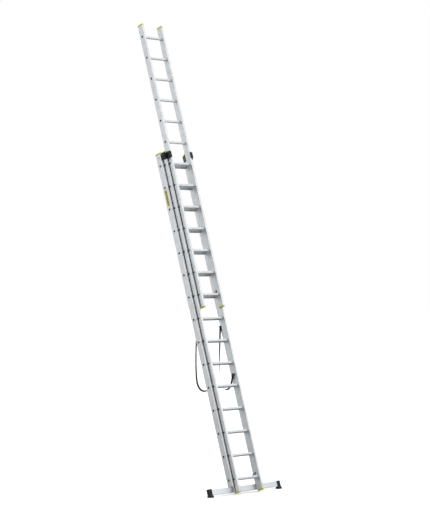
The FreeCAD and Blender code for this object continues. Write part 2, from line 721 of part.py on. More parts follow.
def make_strap(side, pins):
    """Flat webbing with a sewn eye at each end."""
    points, flat, normal = strap_points()
    path, radii = strap_line(points)
    wide, thick = size["strap_wide"], size["strap_thick"]
    corner = points[0] - normal * (wide / 2) - flat * (thick / 2)
    profile = Part.makePolygon([corner, corner + normal * wide,
                                corner + normal * wide + flat * thick, corner + flat * thick,
                                corner])
    band = path.makePipeShell([profile], True, False)
    eye_radius = size["bolt_radius"] + size["eye_wall"]
    hole_radius = size["bolt_radius"] + size["eye_play"]
    for pin, end in zip(pins, (points[0], points[-1])):
        centre = V(end.x, pin.y, pin.z) - normal * (wide / 2)
        band = band.fuse(Part.makeCylinder(eye_radius, wide, centre, normal))
    for pin, end in zip(pins, (points[0], points[-1])):
        centre = V(end.x, pin.y, pin.z) - normal * wide
        band = band.cut(Part.makeCylinder(hole_radius, 2 * wide, centre, normal))
    if SIDES[side] < 0:
        band = band.mirror(V(0, 0, 0), V(1, 0, 0))
    strap = doc.addObject("Part::Feature", f"spreader_strap_{side}")
    strap.Shape = band
    print(f"{strap.Label}: length {path.Length:.1f} mm, volume {band.Volume:.0f} mm3,",
          f"section times length {wide * thick * path.Length:.0f} mm3,",
          "radii", [round(r) for r in radii])
    return keep(strap, strap.Name)


# ---------------------------------------------------------------- stand it up and write it
doc.recompute()
lean = FreeCAD.Rotation(V(1, 0, 0), -size["lean_angle"])
box = FreeCAD.BoundBox()
for obj in nodes:
    if obj.Shape.isNull() or not obj.Shape.isValid():
        raise RuntimeError(f"{obj.Label} has no valid shape")
    turned = obj.Shape.copy()
    turned.Placement = FreeCAD.Placement(V(0, 0, 0), lean).multiply(turned.Placement)
    box.add(turned.optimalBoundingBox())
stand = FreeCAD.Placement(V(0, -box.Center.y, -box.ZMin), lean)
print("moved by", stand.Base, "size", box.XLength, box.YLength, box.ZLength)
for obj in nodes:
    for part in ("x", "y", "z"):
        obj.setExpression("Placement.Base." + part, None)
    obj.Placement = stand.multiply(obj.Placement)
strap_pins = [stand.multVec(V(0, size["strap_back"], size["strap_up"])),
              stand.multVec(V(0, size["strap_fore"], size["strap_down"]))]
for side in SIDES:
    make_strap(side, strap_pins)
doc.recompute()
failed = [obj.Name for obj in doc.Objects if "Invalid" in obj.State or "Error" in obj.State]
if failed:
    raise RuntimeError(f"failed objects: {failed}")
os.makedirs("parts", exist_ok=True)
for obj in nodes:
    if obj.Shape.isNull() or not obj.Shape.isValid():
        raise RuntimeError(f"{obj.Label} is not valid")
    obj.Shape.exportStep(f"parts/{obj.Label}.step")
print(len(nodes), "nodes written")
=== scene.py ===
# %% [markdown]
# # A three-section combination ladder
# The ladder leans back 18 degrees with its rubber boots on the floor. The sizes and the
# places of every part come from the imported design, which loads first and never changes.
# Blender adds what the design leaves plain: finishes, grooved rungs, webbing, bolts, springs.

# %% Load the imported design
import math
import bmesh
import bpy
from mathutils import Matrix, Vector


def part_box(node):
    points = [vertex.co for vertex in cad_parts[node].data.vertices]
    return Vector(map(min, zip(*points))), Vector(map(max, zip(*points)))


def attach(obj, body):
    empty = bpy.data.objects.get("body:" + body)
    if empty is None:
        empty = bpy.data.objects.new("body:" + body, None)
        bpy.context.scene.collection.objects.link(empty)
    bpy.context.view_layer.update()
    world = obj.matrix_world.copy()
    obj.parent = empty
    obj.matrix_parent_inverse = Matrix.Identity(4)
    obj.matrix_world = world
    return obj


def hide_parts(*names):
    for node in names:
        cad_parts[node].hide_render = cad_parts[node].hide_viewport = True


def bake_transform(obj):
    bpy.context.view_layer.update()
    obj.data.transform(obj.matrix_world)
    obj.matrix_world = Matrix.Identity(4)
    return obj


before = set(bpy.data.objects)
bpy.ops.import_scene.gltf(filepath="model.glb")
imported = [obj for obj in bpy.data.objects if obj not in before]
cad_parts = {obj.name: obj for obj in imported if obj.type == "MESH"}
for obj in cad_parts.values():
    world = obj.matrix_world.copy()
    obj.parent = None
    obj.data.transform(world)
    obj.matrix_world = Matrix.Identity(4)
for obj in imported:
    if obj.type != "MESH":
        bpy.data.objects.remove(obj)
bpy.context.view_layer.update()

# %% [markdown]
# ## Working in the ladder's own directions
# A ladder is drawn flat before it is leaned: x across, y from front to back, z up the
# stiles. One matrix leans that drawing and stands it on the floor, so that each new piece
# is drawn in the easy directions and lands where the design has it.

# %% The matrix that leans the ladder
MM = 0.001
LEAN = math.radians(18)
STAND = Vector((0, -0.8358471, 0.007))
lean = Matrix.Translation(STAND) @ Matrix.Rotation(-LEAN, 4, "X")
UP = lean.to_3x3() @ Vector((0, 0, 1))
PITCH = 280 * MM


def stood(x, y, z):
    """A point of the flat drawing, in millimetres, where it is on the leaning ladder."""
    return lean @ Vector((x * MM, y * MM, z * MM))


print("the ladder's own up direction", [round(v, 4) for v in UP])

# %% [markdown]
# ## Camera
# The ladder is looked at from well to its left and in front, from far off with a long lens,
# at a little under half its height. A long lens keeps its edges nearly parallel.

# %% Camera
camera = bpy.data.objects.new("camera", bpy.data.cameras.new("camera"))
bpy.context.scene.collection.objects.link(camera)
camera.location = (-13.419, -14.710, 2.674)
camera.rotation_euler = (math.radians(90.072), math.radians(0.089), math.radians(-42.961))
camera.data.sensor_fit = "HORIZONTAL"
camera.data.sensor_width = 36
camera.data.lens = 137.23
camera.data.clip_end = 200
bpy.context.scene.camera = camera
bpy.context.scene.view_settings.view_transform = "Standard"
print("camera at", tuple(camera.location))

# %% [markdown]
# ## Two small helpers
# Hex colours are written as a screen shows them, so one function turns them into the linear
# numbers that shaders mix. The other adds a node, sets it and links it in one line.

# %% Colour and node helpers


def linear(hex_colour):
    """An sRGB hex colour as linear red, green, blue and alpha."""
    parts = [int(hex_colour[i:i + 2], 16) / 255 for i in (1, 3, 5)]
    return [p / 12.92 if p <= 0.04045 else ((p + 0.055) / 1.055) ** 2.4 for p in parts] + [1]


def add(tree, kind, inputs=None, **settings):
    """Adds a node to a tree. An input that is given a node or a socket is linked to it."""
    node = tree.nodes.new(kind)
    for name, setting in settings.items():
        setattr(node, name, setting)
    for name, given in (inputs or {}).items():
        named = [s for s in node.inputs if s.enabled and s.name == name]
        socket = named[0] if named else node.inputs[name]
        if isinstance(given, bpy.types.Node):
            given = [s for s in given.outputs if s.enabled][0]
        if isinstance(given, bpy.types.NodeSocket):
            tree.links.new(given, socket)
        else:
            socket.default_value = given
    return node


# %% [markdown]
# ## Floor and light
# The ladder stands on a pale floor under large soft lamps. Its front edges face the main
# lamp and are brightest; its outer sides get less light, and the undersides of the rungs
# least. The floor and the background are white to look at. Both give less light than white
# would, so that the undersides stay dark.

# %% Floor
FLOOR_HALF = 60
floor_mesh = bpy.data.meshes.new("floor")
floor_mesh.from_pydata([(-FLOOR_HALF, -FLOOR_HALF, 0), (FLOOR_HALF, -FLOOR_HALF, 0),
                        (FLOOR_HALF, FLOOR_HALF, 0), (-FLOOR_HALF, FLOOR_HALF, 0)],
                       [], [(0, 1, 2, 3)])
floor = bpy.data.objects.new("floor", floor_mesh)
bpy.context.scene.collection.objects.link(floor)
paper = bpy.data.materials.new("studio_paper")
paper.use_nodes = True
tree = paper.node_tree
shader = tree.nodes["Principled BSDF"]
shader.inputs["Roughness"].default_value = 0.9
shader.inputs["Specular IOR Level"].default_value = 0.1
grain = add(tree, "ShaderNodeTexNoise", {"Scale": 30.0, "Detail": 4.0})
tint = add(tree, "ShaderNodeMix", {"Factor": grain.outputs["Fac"], "A": linear("#F7F7F7"),
                                   "B": linear("#FCFCFC")}, data_type="RGBA")
tree.links.new(tint.outputs[2], shader.inputs["Base Color"])
seen = add(tree, "ShaderNodeLightPath")
under = add(tree, "ShaderNodeBsdfDiffuse", {"Color": linear("#909090")})
either = add(tree, "ShaderNodeMixShader", {0: seen.outputs["Is Camera Ray"], 1: under,
                                           2: shader.outputs[0]})
tree.links.new(either.outputs[0], tree.nodes["Material Output"].inputs["Surface"])
floor_mesh.materials.append(paper)

# %% World: white to look at, softer as a light
world = bpy.data.worlds.new("studio")
bpy.context.scene.world = world
world.use_nodes = True
tree = world.node_tree
tree.nodes.clear()
seen = add(tree, "ShaderNodeLightPath")
soft = add(tree, "ShaderNodeBackground", {"Color": linear("#F4F6F8"), "Strength": 0.80})
white = add(tree, "ShaderNodeBackground", {"Color": linear("#FFFFFF"), "Strength": 1.0})
either = add(tree, "ShaderNodeMixShader", {0: seen.outputs["Is Camera Ray"],
                                           1: soft.outputs[0], 2: white.outputs[0]})
add(tree, "ShaderNodeOutputWorld", {"Surface": either.outputs[0]})

# %% Lamps


def lamp(name, place, aim, size, power):
    """A square soft lamp that points at a spot on the ladder."""
    light = bpy.data.objects.new(name, bpy.data.lights.new(name, "AREA"))
    bpy.context.scene.collection.objects.link(light)
    light.data.size = size
    light.data.energy = power
    light.location = place
    light.rotation_euler = (Vector(aim) - Vector(place)).to_track_quat("-Z", "Y").to_euler()
    return light


lamp("main_lamp", (3.5, -12, 6.5), (0, 0, 3.2), 6, 520)
lamp("side_lamp", (-10, 6, 3.8), (0, 0, 2.6), 9, 185)
sky = bpy.data.objects.new("sky_lamp", bpy.data.lights.new("sky_lamp", "SUN"))
bpy.context.scene.collection.objects.link(sky)
sky.data.energy = 2.3
sky.data.angle = math.radians(120)
print("lamps and floor are set")

# %% [markdown]
# ## Finishes
# Most of the ladder is extruded aluminium in mill finish: metal pushed through a die, which
# leaves faint straight lines along its length, a satin sheen and small grey stains. The
# lines run with each profile, so the pattern is squeezed along one direction only.

# %% A bare material with its shader


def new_material(name, **sockets):
    """A material with one Principled shader; the sockets are its fixed numbers."""
    material = bpy.data.materials.new(name)
    material.use_nodes = True
    shader = material.node_tree.nodes["Principled BSDF"]
    for socket, given in sockets.items():
        shader.inputs[socket.replace("_", " ")].default_value = given
    return material, material.node_tree, shader


def drawn_metal(name, light, dark, squeeze, turn, rough, line_mm=1.6, stain=0.35):
    """Extruded metal. squeeze is how much the pattern is stretched along each direction."""
    material, tree, shader = new_material(name, Metallic=1.0)
    where = add(tree, "ShaderNodeTexCoord")
    along = add(tree, "ShaderNodeMapping", {"Vector": where.outputs["Object"],
                                            "Rotation": (turn, 0, 0), "Scale": squeeze})
    lines = add(tree, "ShaderNodeTexNoise", {"Vector": along.outputs[0], "Detail": 3.0,
                                             "Scale": 1 / (line_mm * MM), "Roughness": 0.6})
    stains = add(tree, "ShaderNodeTexNoise", {"Vector": where.outputs["Object"], "Scale": 14.0,
                                              "Detail": 5.0, "Roughness": 0.65})
    blend = add(tree, "ShaderNodeMath", {0: lines.outputs["Fac"], 1: 1 - stain},
                operation="MULTIPLY")
    blend = add(tree, "ShaderNodeMath", {0: stains.outputs["Fac"], 1: stain,
                                         2: blend.outputs[0]}, operation="MULTIPLY_ADD")
    colour = add(tree, "ShaderNodeValToRGB", {"Fac": blend.outputs[0]})
    colour.color_ramp.elements[0].position = 0.36
    colour.color_ramp.elements[1].position = 0.62
    colour.color_ramp.elements[0].color = linear(dark)
    colour.color_ramp.elements[1].color = linear(light)
    tree.links.new(colour.outputs["Color"], shader.inputs["Base Color"])
    sheen = add(tree, "ShaderNodeMapRange", {"Value": blend.outputs[0], "From Min": 0.3,
                                             "From Max": 0.7, "To Min": rough + 0.09,
                                             "To Max": rough - 0.06})
    tree.links.new(sheen.outputs[0], shader.inputs["Roughness"])
    bump = add(tree, "ShaderNodeBump", {"Height": lines.outputs["Fac"], "Strength": 0.12,
                                        "Distance": 0.0003})
    tree.links.new(bump.outputs[0], shader.inputs["Normal"])
    return material


# %% Aluminium and steel finishes
# Mill-finish extrusion gives straight satin lines up the stiles; the lines are drawn
# 1.6 mm wide, coarser than the real die marks, so that they show.
stile_metal = drawn_metal("mill_finish_stile", "#D9DBDC", "#BDC0C2", (1, 1, 0.012), -LEAN, 0.42)
# The same metal on the rungs, with its lines across the ladder.
rung_metal = drawn_metal("mill_finish_rung", "#DCDEDF", "#BFC2C4", (0.02, 1, 1), -LEAN, 0.40)
# Satin anodised tube: more even than mill finish.
bar_metal = drawn_metal("anodised_bar", "#D3D5D7", "#BDC0C3", (0.01, 1, 1), -LEAN, 0.45,
                        stain=0.2)
# Bright zinc plate on turned steel: slightly blue, with fine turning marks.
zinc_metal = drawn_metal("zinc_plated_steel", "#C3C7CB", "#93989D", (1, 1, 1), 0, 0.30,
                         line_mm=1.0, stain=0.5)
# Pressed steel, zinc plated and dulled by handling: darker and rougher.
hook_metal = drawn_metal("pressed_hook_steel", "#A9ADB0", "#85898D", (1, 1, 0.3), -LEAN, 0.42,
                         line_mm=2.0, stain=0.5)
print("five metals")

# %% [markdown]
# ## Moulded and coated finishes
# The caps and feet are moulded polypropylene with a fine spark-eroded texture. The brackets
# are powder coated, which leaves an orange-peel skin. The boots are moulded rubber, matt and
# dusty. The shoes are nylon and the saddles cast alloy. All of them are one speckle in
# colour and bump, at a different size and strength.

# %% Speckled finishes


def speckled(name, base, other, rough, grain_mm, bump_mm, dust=None, **sockets):
    """A moulded, cast or coated surface with grain, uneven colour and, if given, dust."""
    material, tree, shader = new_material(name, **sockets)
    where = add(tree, "ShaderNodeTexCoord")
    grain = add(tree, "ShaderNodeTexNoise", {"Vector": where.outputs["Object"], "Detail": 3.0,
                                             "Scale": 1 / (grain_mm * MM)})
    cloud = add(tree, "ShaderNodeTexNoise", {"Vector": where.outputs["Object"], "Detail": 5.0,
                                             "Scale": 18.0, "Roughness": 0.6})
    colour = add(tree, "ShaderNodeMix", {"Factor": cloud.outputs["Fac"], "A": linear(base),
                                         "B": linear(other)}, data_type="RGBA")
    finished = colour.outputs[2]
    if dust:
        facing_up = add(tree, "ShaderNodeSeparateXYZ",
                        {"Vector": add(tree, "ShaderNodeNewGeometry").outputs["Normal"]})
        amount = add(tree, "ShaderNodeMath", {0: facing_up.outputs["Z"],
                                              1: cloud.outputs["Fac"]}, operation="MULTIPLY")
        amount = add(tree, "ShaderNodeClamp", {"Value": amount.outputs[0], "Max": 0.5})
        settled = add(tree, "ShaderNodeMix", {"Factor": amount.outputs[0], "A": finished,
                                              "B": linear(dust)}, data_type="RGBA")
        finished = settled.outputs[2]
    tree.links.new(finished, shader.inputs["Base Color"])
    sheen = add(tree, "ShaderNodeMapRange", {"Value": cloud.outputs["Fac"],
                                             "From Min": 0.3, "From Max": 0.7,
                                             "To Min": rough - 0.08, "To Max": rough + 0.08})
    tree.links.new(sheen.outputs[0], shader.inputs["Roughness"])
    bump = add(tree, "ShaderNodeBump", {"Height": grain.outputs["Fac"], "Strength": 0.35,
                                        "Distance": bump_mm * MM})
    tree.links.new(bump.outputs[0], shader.inputs["Normal"])
    return material


# %% Plastics, rubber, cast metal and powder coat
# Moulded polypropylene, yellow-green, slightly waxy.
yellow_plastic = speckled("moulded_yellow_plastic", "#C4C54E", "#B3B53E", 0.48, 1.2, 0.15,
                          IOR=1.49)
# Pale moulded nylon of the shoes.
pale_plastic = speckled("moulded_pale_nylon", "#CBCDCD", "#BABDBD", 0.5, 1.2, 0.15, IOR=1.53)
# Moulded rubber, matt, with floor dust on what faces up.
boot_rubber = speckled("moulded_boot_rubber", "#121213", "#1B1B1C", 0.75, 1.5, 0.3,
                       dust="#2E2D2C", IOR=1.52, Specular_IOR_Level=0.3)
# Powder coat over steel: black with an orange-peel skin.
black_coat = speckled("black_powder_coat", "#0C0C0D", "#141416", 0.5, 1.8, 0.2, IOR=1.5,
                      Specular_IOR_Level=0.3)
# Sand-cast light alloy, pale and matt with a coarse skin.
cast_metal = speckled("cast_light_alloy", "#DFE0E3", "#C6C8CC", 0.5, 1.4, 0.35, Metallic=1.0)
print("five speckled finishes")

# %% [markdown]
# ## The label
# A printed film on the left stile, with a yellow edge and a dark panel of slanted
# bars in place of any words. The pattern is measured from the label's own middle, so a
# Mapping node first moves and turns the coordinates there.

# %% Printed film
LABEL_LONG, LABEL_WIDE = 210 * MM, 46 * MM
PANEL_HALF, BARS_HALF = 16.5 * MM, 12.5 * MM  # half widths of the dark panel and its bars
BARS_STEP, BARS_PART, BARS_SLOPE = 12 * MM, 4.2 * MM, 0.8
label_low, label_high = [Vector(corner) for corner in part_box("information_label")]
label_middle = (label_low + label_high) / 2
printed, tree, shader = new_material("printed_label_film", Roughness=0.32, IOR=1.5)
where = add(tree, "ShaderNodeTexCoord")
centred = add(tree, "ShaderNodeVectorMath", {0: where.outputs["Object"], 1: label_middle},
              operation="SUBTRACT")
flat = add(tree, "ShaderNodeMapping", {"Vector": centred.outputs[0], "Rotation": (LEAN, 0, 0)})
parts = add(tree, "ShaderNodeSeparateXYZ", {"Vector": flat.outputs[0]})
far_up = add(tree, "ShaderNodeMath", {0: parts.outputs["Z"]}, operation="ABSOLUTE")
past_spine = add(tree, "ShaderNodeMath", {0: far_up, 1: LABEL_LONG / 2 - LABEL_WIDE / 2},
                 operation="SUBTRACT")
past_spine = add(tree, "ShaderNodeMath", {0: past_spine, 1: 0.0}, operation="MAXIMUM")
beside = add(tree, "ShaderNodeCombineXYZ", {"X": past_spine, "Y": parts.outputs["Y"]})
from_spine = add(tree, "ShaderNodeVectorMath", {0: beside}, operation="LENGTH").outputs["Value"]
in_panel = add(tree, "ShaderNodeMath", {0: from_spine, 1: PANEL_HALF}, operation="LESS_THAN")
slant = add(tree, "ShaderNodeMath", {0: parts.outputs["Y"], 1: BARS_SLOPE,
                                     2: parts.outputs["Z"]}, operation="MULTIPLY_ADD")
bars = add(tree, "ShaderNodeMath", {0: slant, 1: BARS_STEP}, operation="PINGPONG")
bars = add(tree, "ShaderNodeMath", {0: bars, 1: BARS_PART}, operation="LESS_THAN")
inside = add(tree, "ShaderNodeMath", {0: from_spine, 1: BARS_HALF}, operation="LESS_THAN")
in_bars = add(tree, "ShaderNodeMath", {0: bars, 1: inside}, operation="MULTIPLY")
speck = add(tree, "ShaderNodeTexNoise", {"Vector": where.outputs["Object"], "Scale": 900.0})
edge = add(tree, "ShaderNodeMix", {"Factor": speck.outputs["Fac"], "A": linear("#EAD54E"),
                                   "B": linear("#DFC63E")}, data_type="RGBA")
panel = add(tree, "ShaderNodeMix", {"Factor": in_panel, "A": edge.outputs[2],
                                    "B": linear("#2A2A2B")}, data_type="RGBA")
print_layer = add(tree, "ShaderNodeMix", {"Factor": in_bars, "A": panel.outputs[2],
                                          "B": linear("#EAD24C")}, data_type="RGBA")
tree.links.new(print_layer.outputs[2], shader.inputs["Base Color"])
print("label", round(LABEL_LONG / MM), "by", round(LABEL_WIDE / MM), "mm")

# %% [markdown]
# ## Woven webbing
# The spreader straps are 25 mm black polyester webbing. Its herringbone weave follows the
# strap, so the pattern reads the strap's own UV map: U in metres along it, V across.

# %% Webbing, painted gap shadow strip and thread
webbing, tree, shader = new_material("woven_polyester_webbing", Roughness=0.78,
                                     Sheen_Weight=0.1, IOR=1.5,
                                     Specular_IOR_Level=0.25)
uv = add(tree, "ShaderNodeUVMap", uv_map="weave")
uv_parts = add(tree, "ShaderNodeSeparateXYZ", {"Vector": uv.outputs[0]})
YARN = 2.2 * MM  # coarser than real yarn, so that it shows
CHEVRON = 3.1 * MM  # the width of one slanted row of the herringbone
chevron = add(tree, "ShaderNodeMath", {0: uv_parts.outputs["Y"], 1: CHEVRON},
              operation="PINGPONG")
diagonal = add(tree, "ShaderNodeMath", {0: uv_parts.outputs["X"], 1: chevron}, operation="ADD")
ridge = add(tree, "ShaderNodeMath", {0: diagonal, 1: YARN / 2}, operation="PINGPONG")
ridge = add(tree, "ShaderNodeMath", {0: ridge, 1: YARN / 2}, operation="DIVIDE")
fuzz = add(tree, "ShaderNodeTexNoise", {"Vector": uv.outputs[0], "Scale": 900.0})
woven = add(tree, "ShaderNodeMath", {0: ridge, 1: 0.6}, operation="MULTIPLY")
shade = add(tree, "ShaderNodeMath", {0: fuzz.outputs["Fac"], 1: 0.4, 2: woven},
            operation="MULTIPLY_ADD").outputs[0]
colour = add(tree, "ShaderNodeMix", {"Factor": shade, "A": linear("#0B0B0C"),
                                     "B": linear("#1D1D1F")}, data_type="RGBA")
tree.links.new(colour.outputs[2], shader.inputs["Base Color"])
bump = add(tree, "ShaderNodeBump", {"Height": shade, "Strength": 0.6, "Distance": 0.0006})
tree.links.new(bump.outputs[0], shader.inputs["Normal"])
# Dark plastic of the strips on the sliding stiles, which paint the shadow in the gap between
# nested stiles.
gap_shadow_plastic = speckled("black_glide_strip", "#2E2E30", "#3A3A3C", 0.55, 1.2, 0.1, IOR=1.5)
thread = speckled("twisted_nylon_thread", "#3A3A3C", "#4A4A4C", 0.6, 0.8, 0.1, IOR=1.53)
print("webbing, glide strip and thread")

# %% Finishes on the design's own parts
FINISHES = [
    ("bolts", zinc_metal), ("stile", stile_metal), ("stabiliser_bar", bar_metal),
    ("saddle", cast_metal), ("cap", yellow_plastic), ("foot", yellow_plastic),
    ("shoe", pale_plastic),
    ("boot", boot_rubber), ("bracket", black_coat), ("guide", black_coat),
    ("pin", zinc_metal), ("spring", zinc_metal), ("catch", hook_metal),
    ("rungs", rung_metal), ("label", printed), ("strap", webbing),
]
for name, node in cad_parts.items():
    finish = [material for word, material in FINISHES if word in name][0]
    node.data.materials.clear()
    node.data.materials.append(finish)
print(len(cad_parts), "nodes have a finish")

# %% [markdown]
# ## Rungs
# Each rung is a square tube with shallow grooves for grip, pushed through both stiles and
# flared over their outer faces. One rung is drawn once: its outline, a smaller inner
# outline, and both swept along x. A Geometry Nodes tree then repeats it up the section, so
# the number and the pitch stay open to change, and one mesh is made for each section.

# %% One rung's outline
GROOVE_WIDE, GROOVE_DEEP, GROOVE_STEP = 1.8, 0.7, 4.0
RUNG_HALF, RUNG_ROUND, BORE_HALF = 14.0, 4.0, 12.4


def rung_outline(half=RUNG_HALF, round_off=RUNG_ROUND):
    """The outline of a grooved square tube, in millimetres, anticlockwise."""
    side = []
    for groove in (-2, -1, 0, 1, 2):
        middle = groove * GROOVE_STEP
        for step, deep in ((-0.5, 0), (-0.3, 1), (0.3, 1), (0.5, 0)):
            side.append((half - deep * GROOVE_DEEP, middle + step * GROOVE_WIDE))
    for turn in range(1, 6):
        angle = math.radians(18 * turn - 9)
        side.append((half - round_off + round_off * math.cos(angle),
                     half - round_off + round_off * math.sin(angle)))
    outline = []
    for quarter in range(4):
        c, s = math.cos(quarter * math.pi / 2), math.sin(quarter * math.pi / 2)
        outline += [(y * c - z * s, y * s + z * c) for y, z in side]
    return outline


print("points round a rung", len(rung_outline()))


# %% A tube swept from outlines


def swept(mesh, rings, close_ends=False):
    """Joins rings of points, given in order, with faces."""
    made = [[mesh.verts.new(point) for point in ring] for ring in rings]
    for one, other in zip(made, made[1:]):
        count = len(one)
        for i in range(count):
            mesh.faces.new((one[i], one[(i + 1) % count], other[(i + 1) % count], other[i]))
    if close_ends:
        mesh.faces.new(made[0][::-1])
        mesh.faces.new(made[-1])
    return made


def finished(name, mesh, material, smooth_angle=35):
    """Turns a bmesh into an object with outward faces and one material."""
    bmesh.ops.recalc_face_normals(mesh, faces=mesh.faces)
    data = bpy.data.meshes.new(name)
    mesh.to_mesh(data)
    mesh.free()
    data.materials.append(material)
    data.shade_smooth()
    data.set_sharp_from_angle(angle=math.radians(smooth_angle))
    piece = bpy.data.objects.new(name, data)
    bpy.context.scene.collection.objects.link(piece)
    return piece


# The flared end: how far past the stile's outer face, and how much the outline grows there.
FLARE = [(1.2, 1.13), (0.9, 1.19), (0.1, 1.21), (0, 1.0)]


def one_rung(name, wide_mm):
    """A rung centred on the origin, leaned as it is on the ladder."""
    outline = rung_outline()
    half = wide_mm / 2
    bore = BORE_HALF / RUNG_HALF
    stations = [(-half - past, grow) for past, grow in FLARE]
    stations += [(-x, grow) for x, grow in reversed(stations)]
    outer = [[(x, y * grow, z * grow) for y, z in outline] for x, grow in stations]
    end = half + FLARE[0][0]
    inner = [[(x, max(-BORE_HALF, min(BORE_HALF, y * bore)),
               max(-BORE_HALF, min(BORE_HALF, z * bore)))
              for y, z in outline] for x in (end, 0, -end)]
    mesh = bmesh.new()
    turned = lean.to_3x3()
    rings = [[turned @ (Vector(point) * MM) for point in ring] for ring in outer + inner]
    swept(mesh, rings + rings[:1])
    bmesh.ops.remove_doubles(mesh, verts=mesh.verts, dist=1e-6)
    return finished(name, mesh, rung_metal, 30)


# %% The tree that repeats a rung


def new_group(name, **inputs):
    """An empty Geometry Nodes tree that takes a mesh, the inputs and a finish."""
    group = bpy.data.node_groups.new(name, "GeometryNodeTree")
    for socket, kind in {"Geometry": "Geometry", **inputs, "Finish": "Material"}.items():
        group.interface.new_socket(socket, in_out="INPUT", socket_type=f"NodeSocket{kind}")
    group.interface.new_socket("Geometry", in_out="OUTPUT", socket_type="NodeSocketGeometry")
    return group


def repeat_tree():
    """Copies its mesh up a line. Inputs: how many, the first one's place, the step."""
    group = new_group("repeat_up_the_ladder", Count="Int", First="Vector", Step="Vector")
    asked = add(group, "NodeGroupInput").outputs
    line = add(group, "GeometryNodeMeshLine", {"Count": asked["Count"],
                                               "Start Location": asked["First"],
                                               "Offset": asked["Step"]})
    copies = add(group, "GeometryNodeInstanceOnPoints", {"Points": line,
                                                         "Instance": asked["Geometry"]})
    real = add(group, "GeometryNodeRealizeInstances", {"Geometry": copies})
    made = add(group, "GeometryNodeSetMaterial", {"Geometry": real, "Material": asked["Finish"]})
    add(group, "NodeGroupOutput", {"Geometry": made})
    return group


def baked(piece, tree, **inputs):
    """Runs a Geometry Nodes tree on a piece and keeps the result as its plain mesh."""
    modifier = piece.modifiers.new("nodes", "NODES")
    modifier.node_group = tree
    for item in tree.interface.items_tree:
        if item.in_out == "INPUT" and item.name in inputs:
            modifier[item.identifier] = inputs[item.name]
    bpy.context.view_layer.update()
    result = bpy.data.meshes.new_from_object(
        piece.evaluated_get(bpy.context.evaluated_depsgraph_get()))
    piece.modifiers.remove(modifier)
    piece.data = result
    piece.data.name = piece.name
    return piece


repeat_up = repeat_tree()

# %% Three sets of rungs
# Each section's width, its middle from front to back, its first rung's height, and its rungs.
SECTIONS = {"rear": (470, 0, 168, 15), "middle": (406, -57, 168, 15),
            "front": (342, -114, 2408, 13)}
for section, (wide, back, first, count) in SECTIONS.items():
    rungs = one_rung(f"{section}_grooved_rungs", wide)
    baked(rungs, repeat_up, Count=count, First=stood(0, back, first), Step=UP * PITCH,
          Finish=rung_metal)
    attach(rungs, f"{section}_section")
    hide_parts(f"{section}_rungs")
    print(rungs.name, len(rungs.data.polygons), "faces")

# %% [markdown]
# ## Painted gap shadow strips
# Where one stile is nested in another, the narrow gap between them lies in shade. A thin black
# strip along each moving stile's outer side paints that shadow: from in front of the ladder it
# is the thin dark line between two nested stiles. It is one flat profile with rounded edges,
# swept.

# %% Painted gap shadow strips on the middle and front stiles
STRIP_THICK, STRIP_WIDE, STRIP_SUNK, STRIP_EDGE = 0.7, 13.0, 0.1, 0.3


def gap_shadow_strips(name, outer, back, low, high):
    """A dark strip of painted gap shadow on both stiles of a section; back is its edge nearest
    the wall, all in mm.
    """
    mesh = bmesh.new()
    for side in (-1, 1):
        under, over = outer - STRIP_SUNK, outer + STRIP_THICK
        front = back - STRIP_WIDE
        outline = [(under, back), (over - STRIP_EDGE, back), (over, back - STRIP_EDGE),
                   (over, front + STRIP_EDGE), (over - STRIP_EDGE, front), (under, front)]
        swept(mesh, [[stood(side * x, y, z) for x, y in outline] for z in (low, high)],
              close_ends=True)
    return finished(name, mesh, gap_shadow_plastic)


# Each strip runs only where its stile is nested in the section behind: painted shadow of the gap.
for section, outer, back, low, high in (("middle", 203, -35, 20, 4150),
                                        ("front", 171, -92, 2262, 4150)):
    strips = gap_shadow_strips(f"{section}_glide_strips", outer, back, low, high)
    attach(strips, f"{section}_section")
    print(strips.name, "from", low, "to", high, "mm")

# %% [markdown]
# ## Spreader straps
# Two webbing straps join the rear and middle sections, so that they can't spread too far.
# Folded up, each hangs in a loop behind the ladder under its own weight. A NURBS curve
# through the air gives the smooth line, and a flat ribbon follows it; a sewn eye at each end
# goes round its pin. The ribbon is one mesh, and the eye at its lower end rides the hinge
# carriage. Its lower end rides the hinge carriage, because a piece bends across one joint
# only.

# %% The line that a strap hangs in
STRAP_ROUTE = [
    (193.6, -181.7, 1931), (193.8, -179, 1845), (194.1, -175, 1730), (194.3, -171, 1605),
    (194.3, -171, 1478), (194.0, -176, 1362), (192.4, -192, 1258), (187.9, -233, 1198),
    (179.2, -300, 1175), (170.7, -366, 1197), (165.6, -405, 1253), (163.2, -424, 1312),
    (161.5, -437.3, 1368),
]
STRAP_WIDE, STRAP_THICK = 25 * MM, 2 * MM
EYE_RADIUS, DOUBLED_LONG = 7.6 * MM, 75 * MM
END_POINT = 4  # the point of the line that gives the direction of a strap's end


def hanging_line(side):
    """Points along the strap's smooth line."""
    curve = bpy.data.curves.new("strap_line", "CURVE")
    curve.dimensions = "3D"
    curve.resolution_u = 8
    spline = curve.splines.new("NURBS")
    spline.points.add(len(STRAP_ROUTE) - 1)
    for point, (x, y, z) in zip(spline.points, STRAP_ROUTE):
        point.co = (side * x * MM, y * MM, z * MM, 1)
    spline.order_u = 3
    spline.use_endpoint_u = True
    holder = bpy.data.objects.new("strap_line", curve)
    bpy.context.scene.collection.objects.link(holder)
    bpy.context.view_layer.update()
    line = bpy.data.meshes.new_from_object(holder)
    points = [vertex.co.copy() for vertex in line.vertices]
    bpy.data.objects.remove(holder)
    return points


# %% Ribbons and eyes
# The ribbon's outline has thicker woven edges, as webbing has.
RIBBON = [(-0.5, 0.3), (-0.47, 0.5), (-0.40, 0.42), (0, 0.40), (0.40, 0.42), (0.47, 0.5),
          (0.5, 0.3), (0.5, -0.3), (0.47, -0.5), (0.40, -0.42), (0, -0.40), (-0.40, -0.42),
          (-0.47, -0.5), (-0.5, -0.3)]


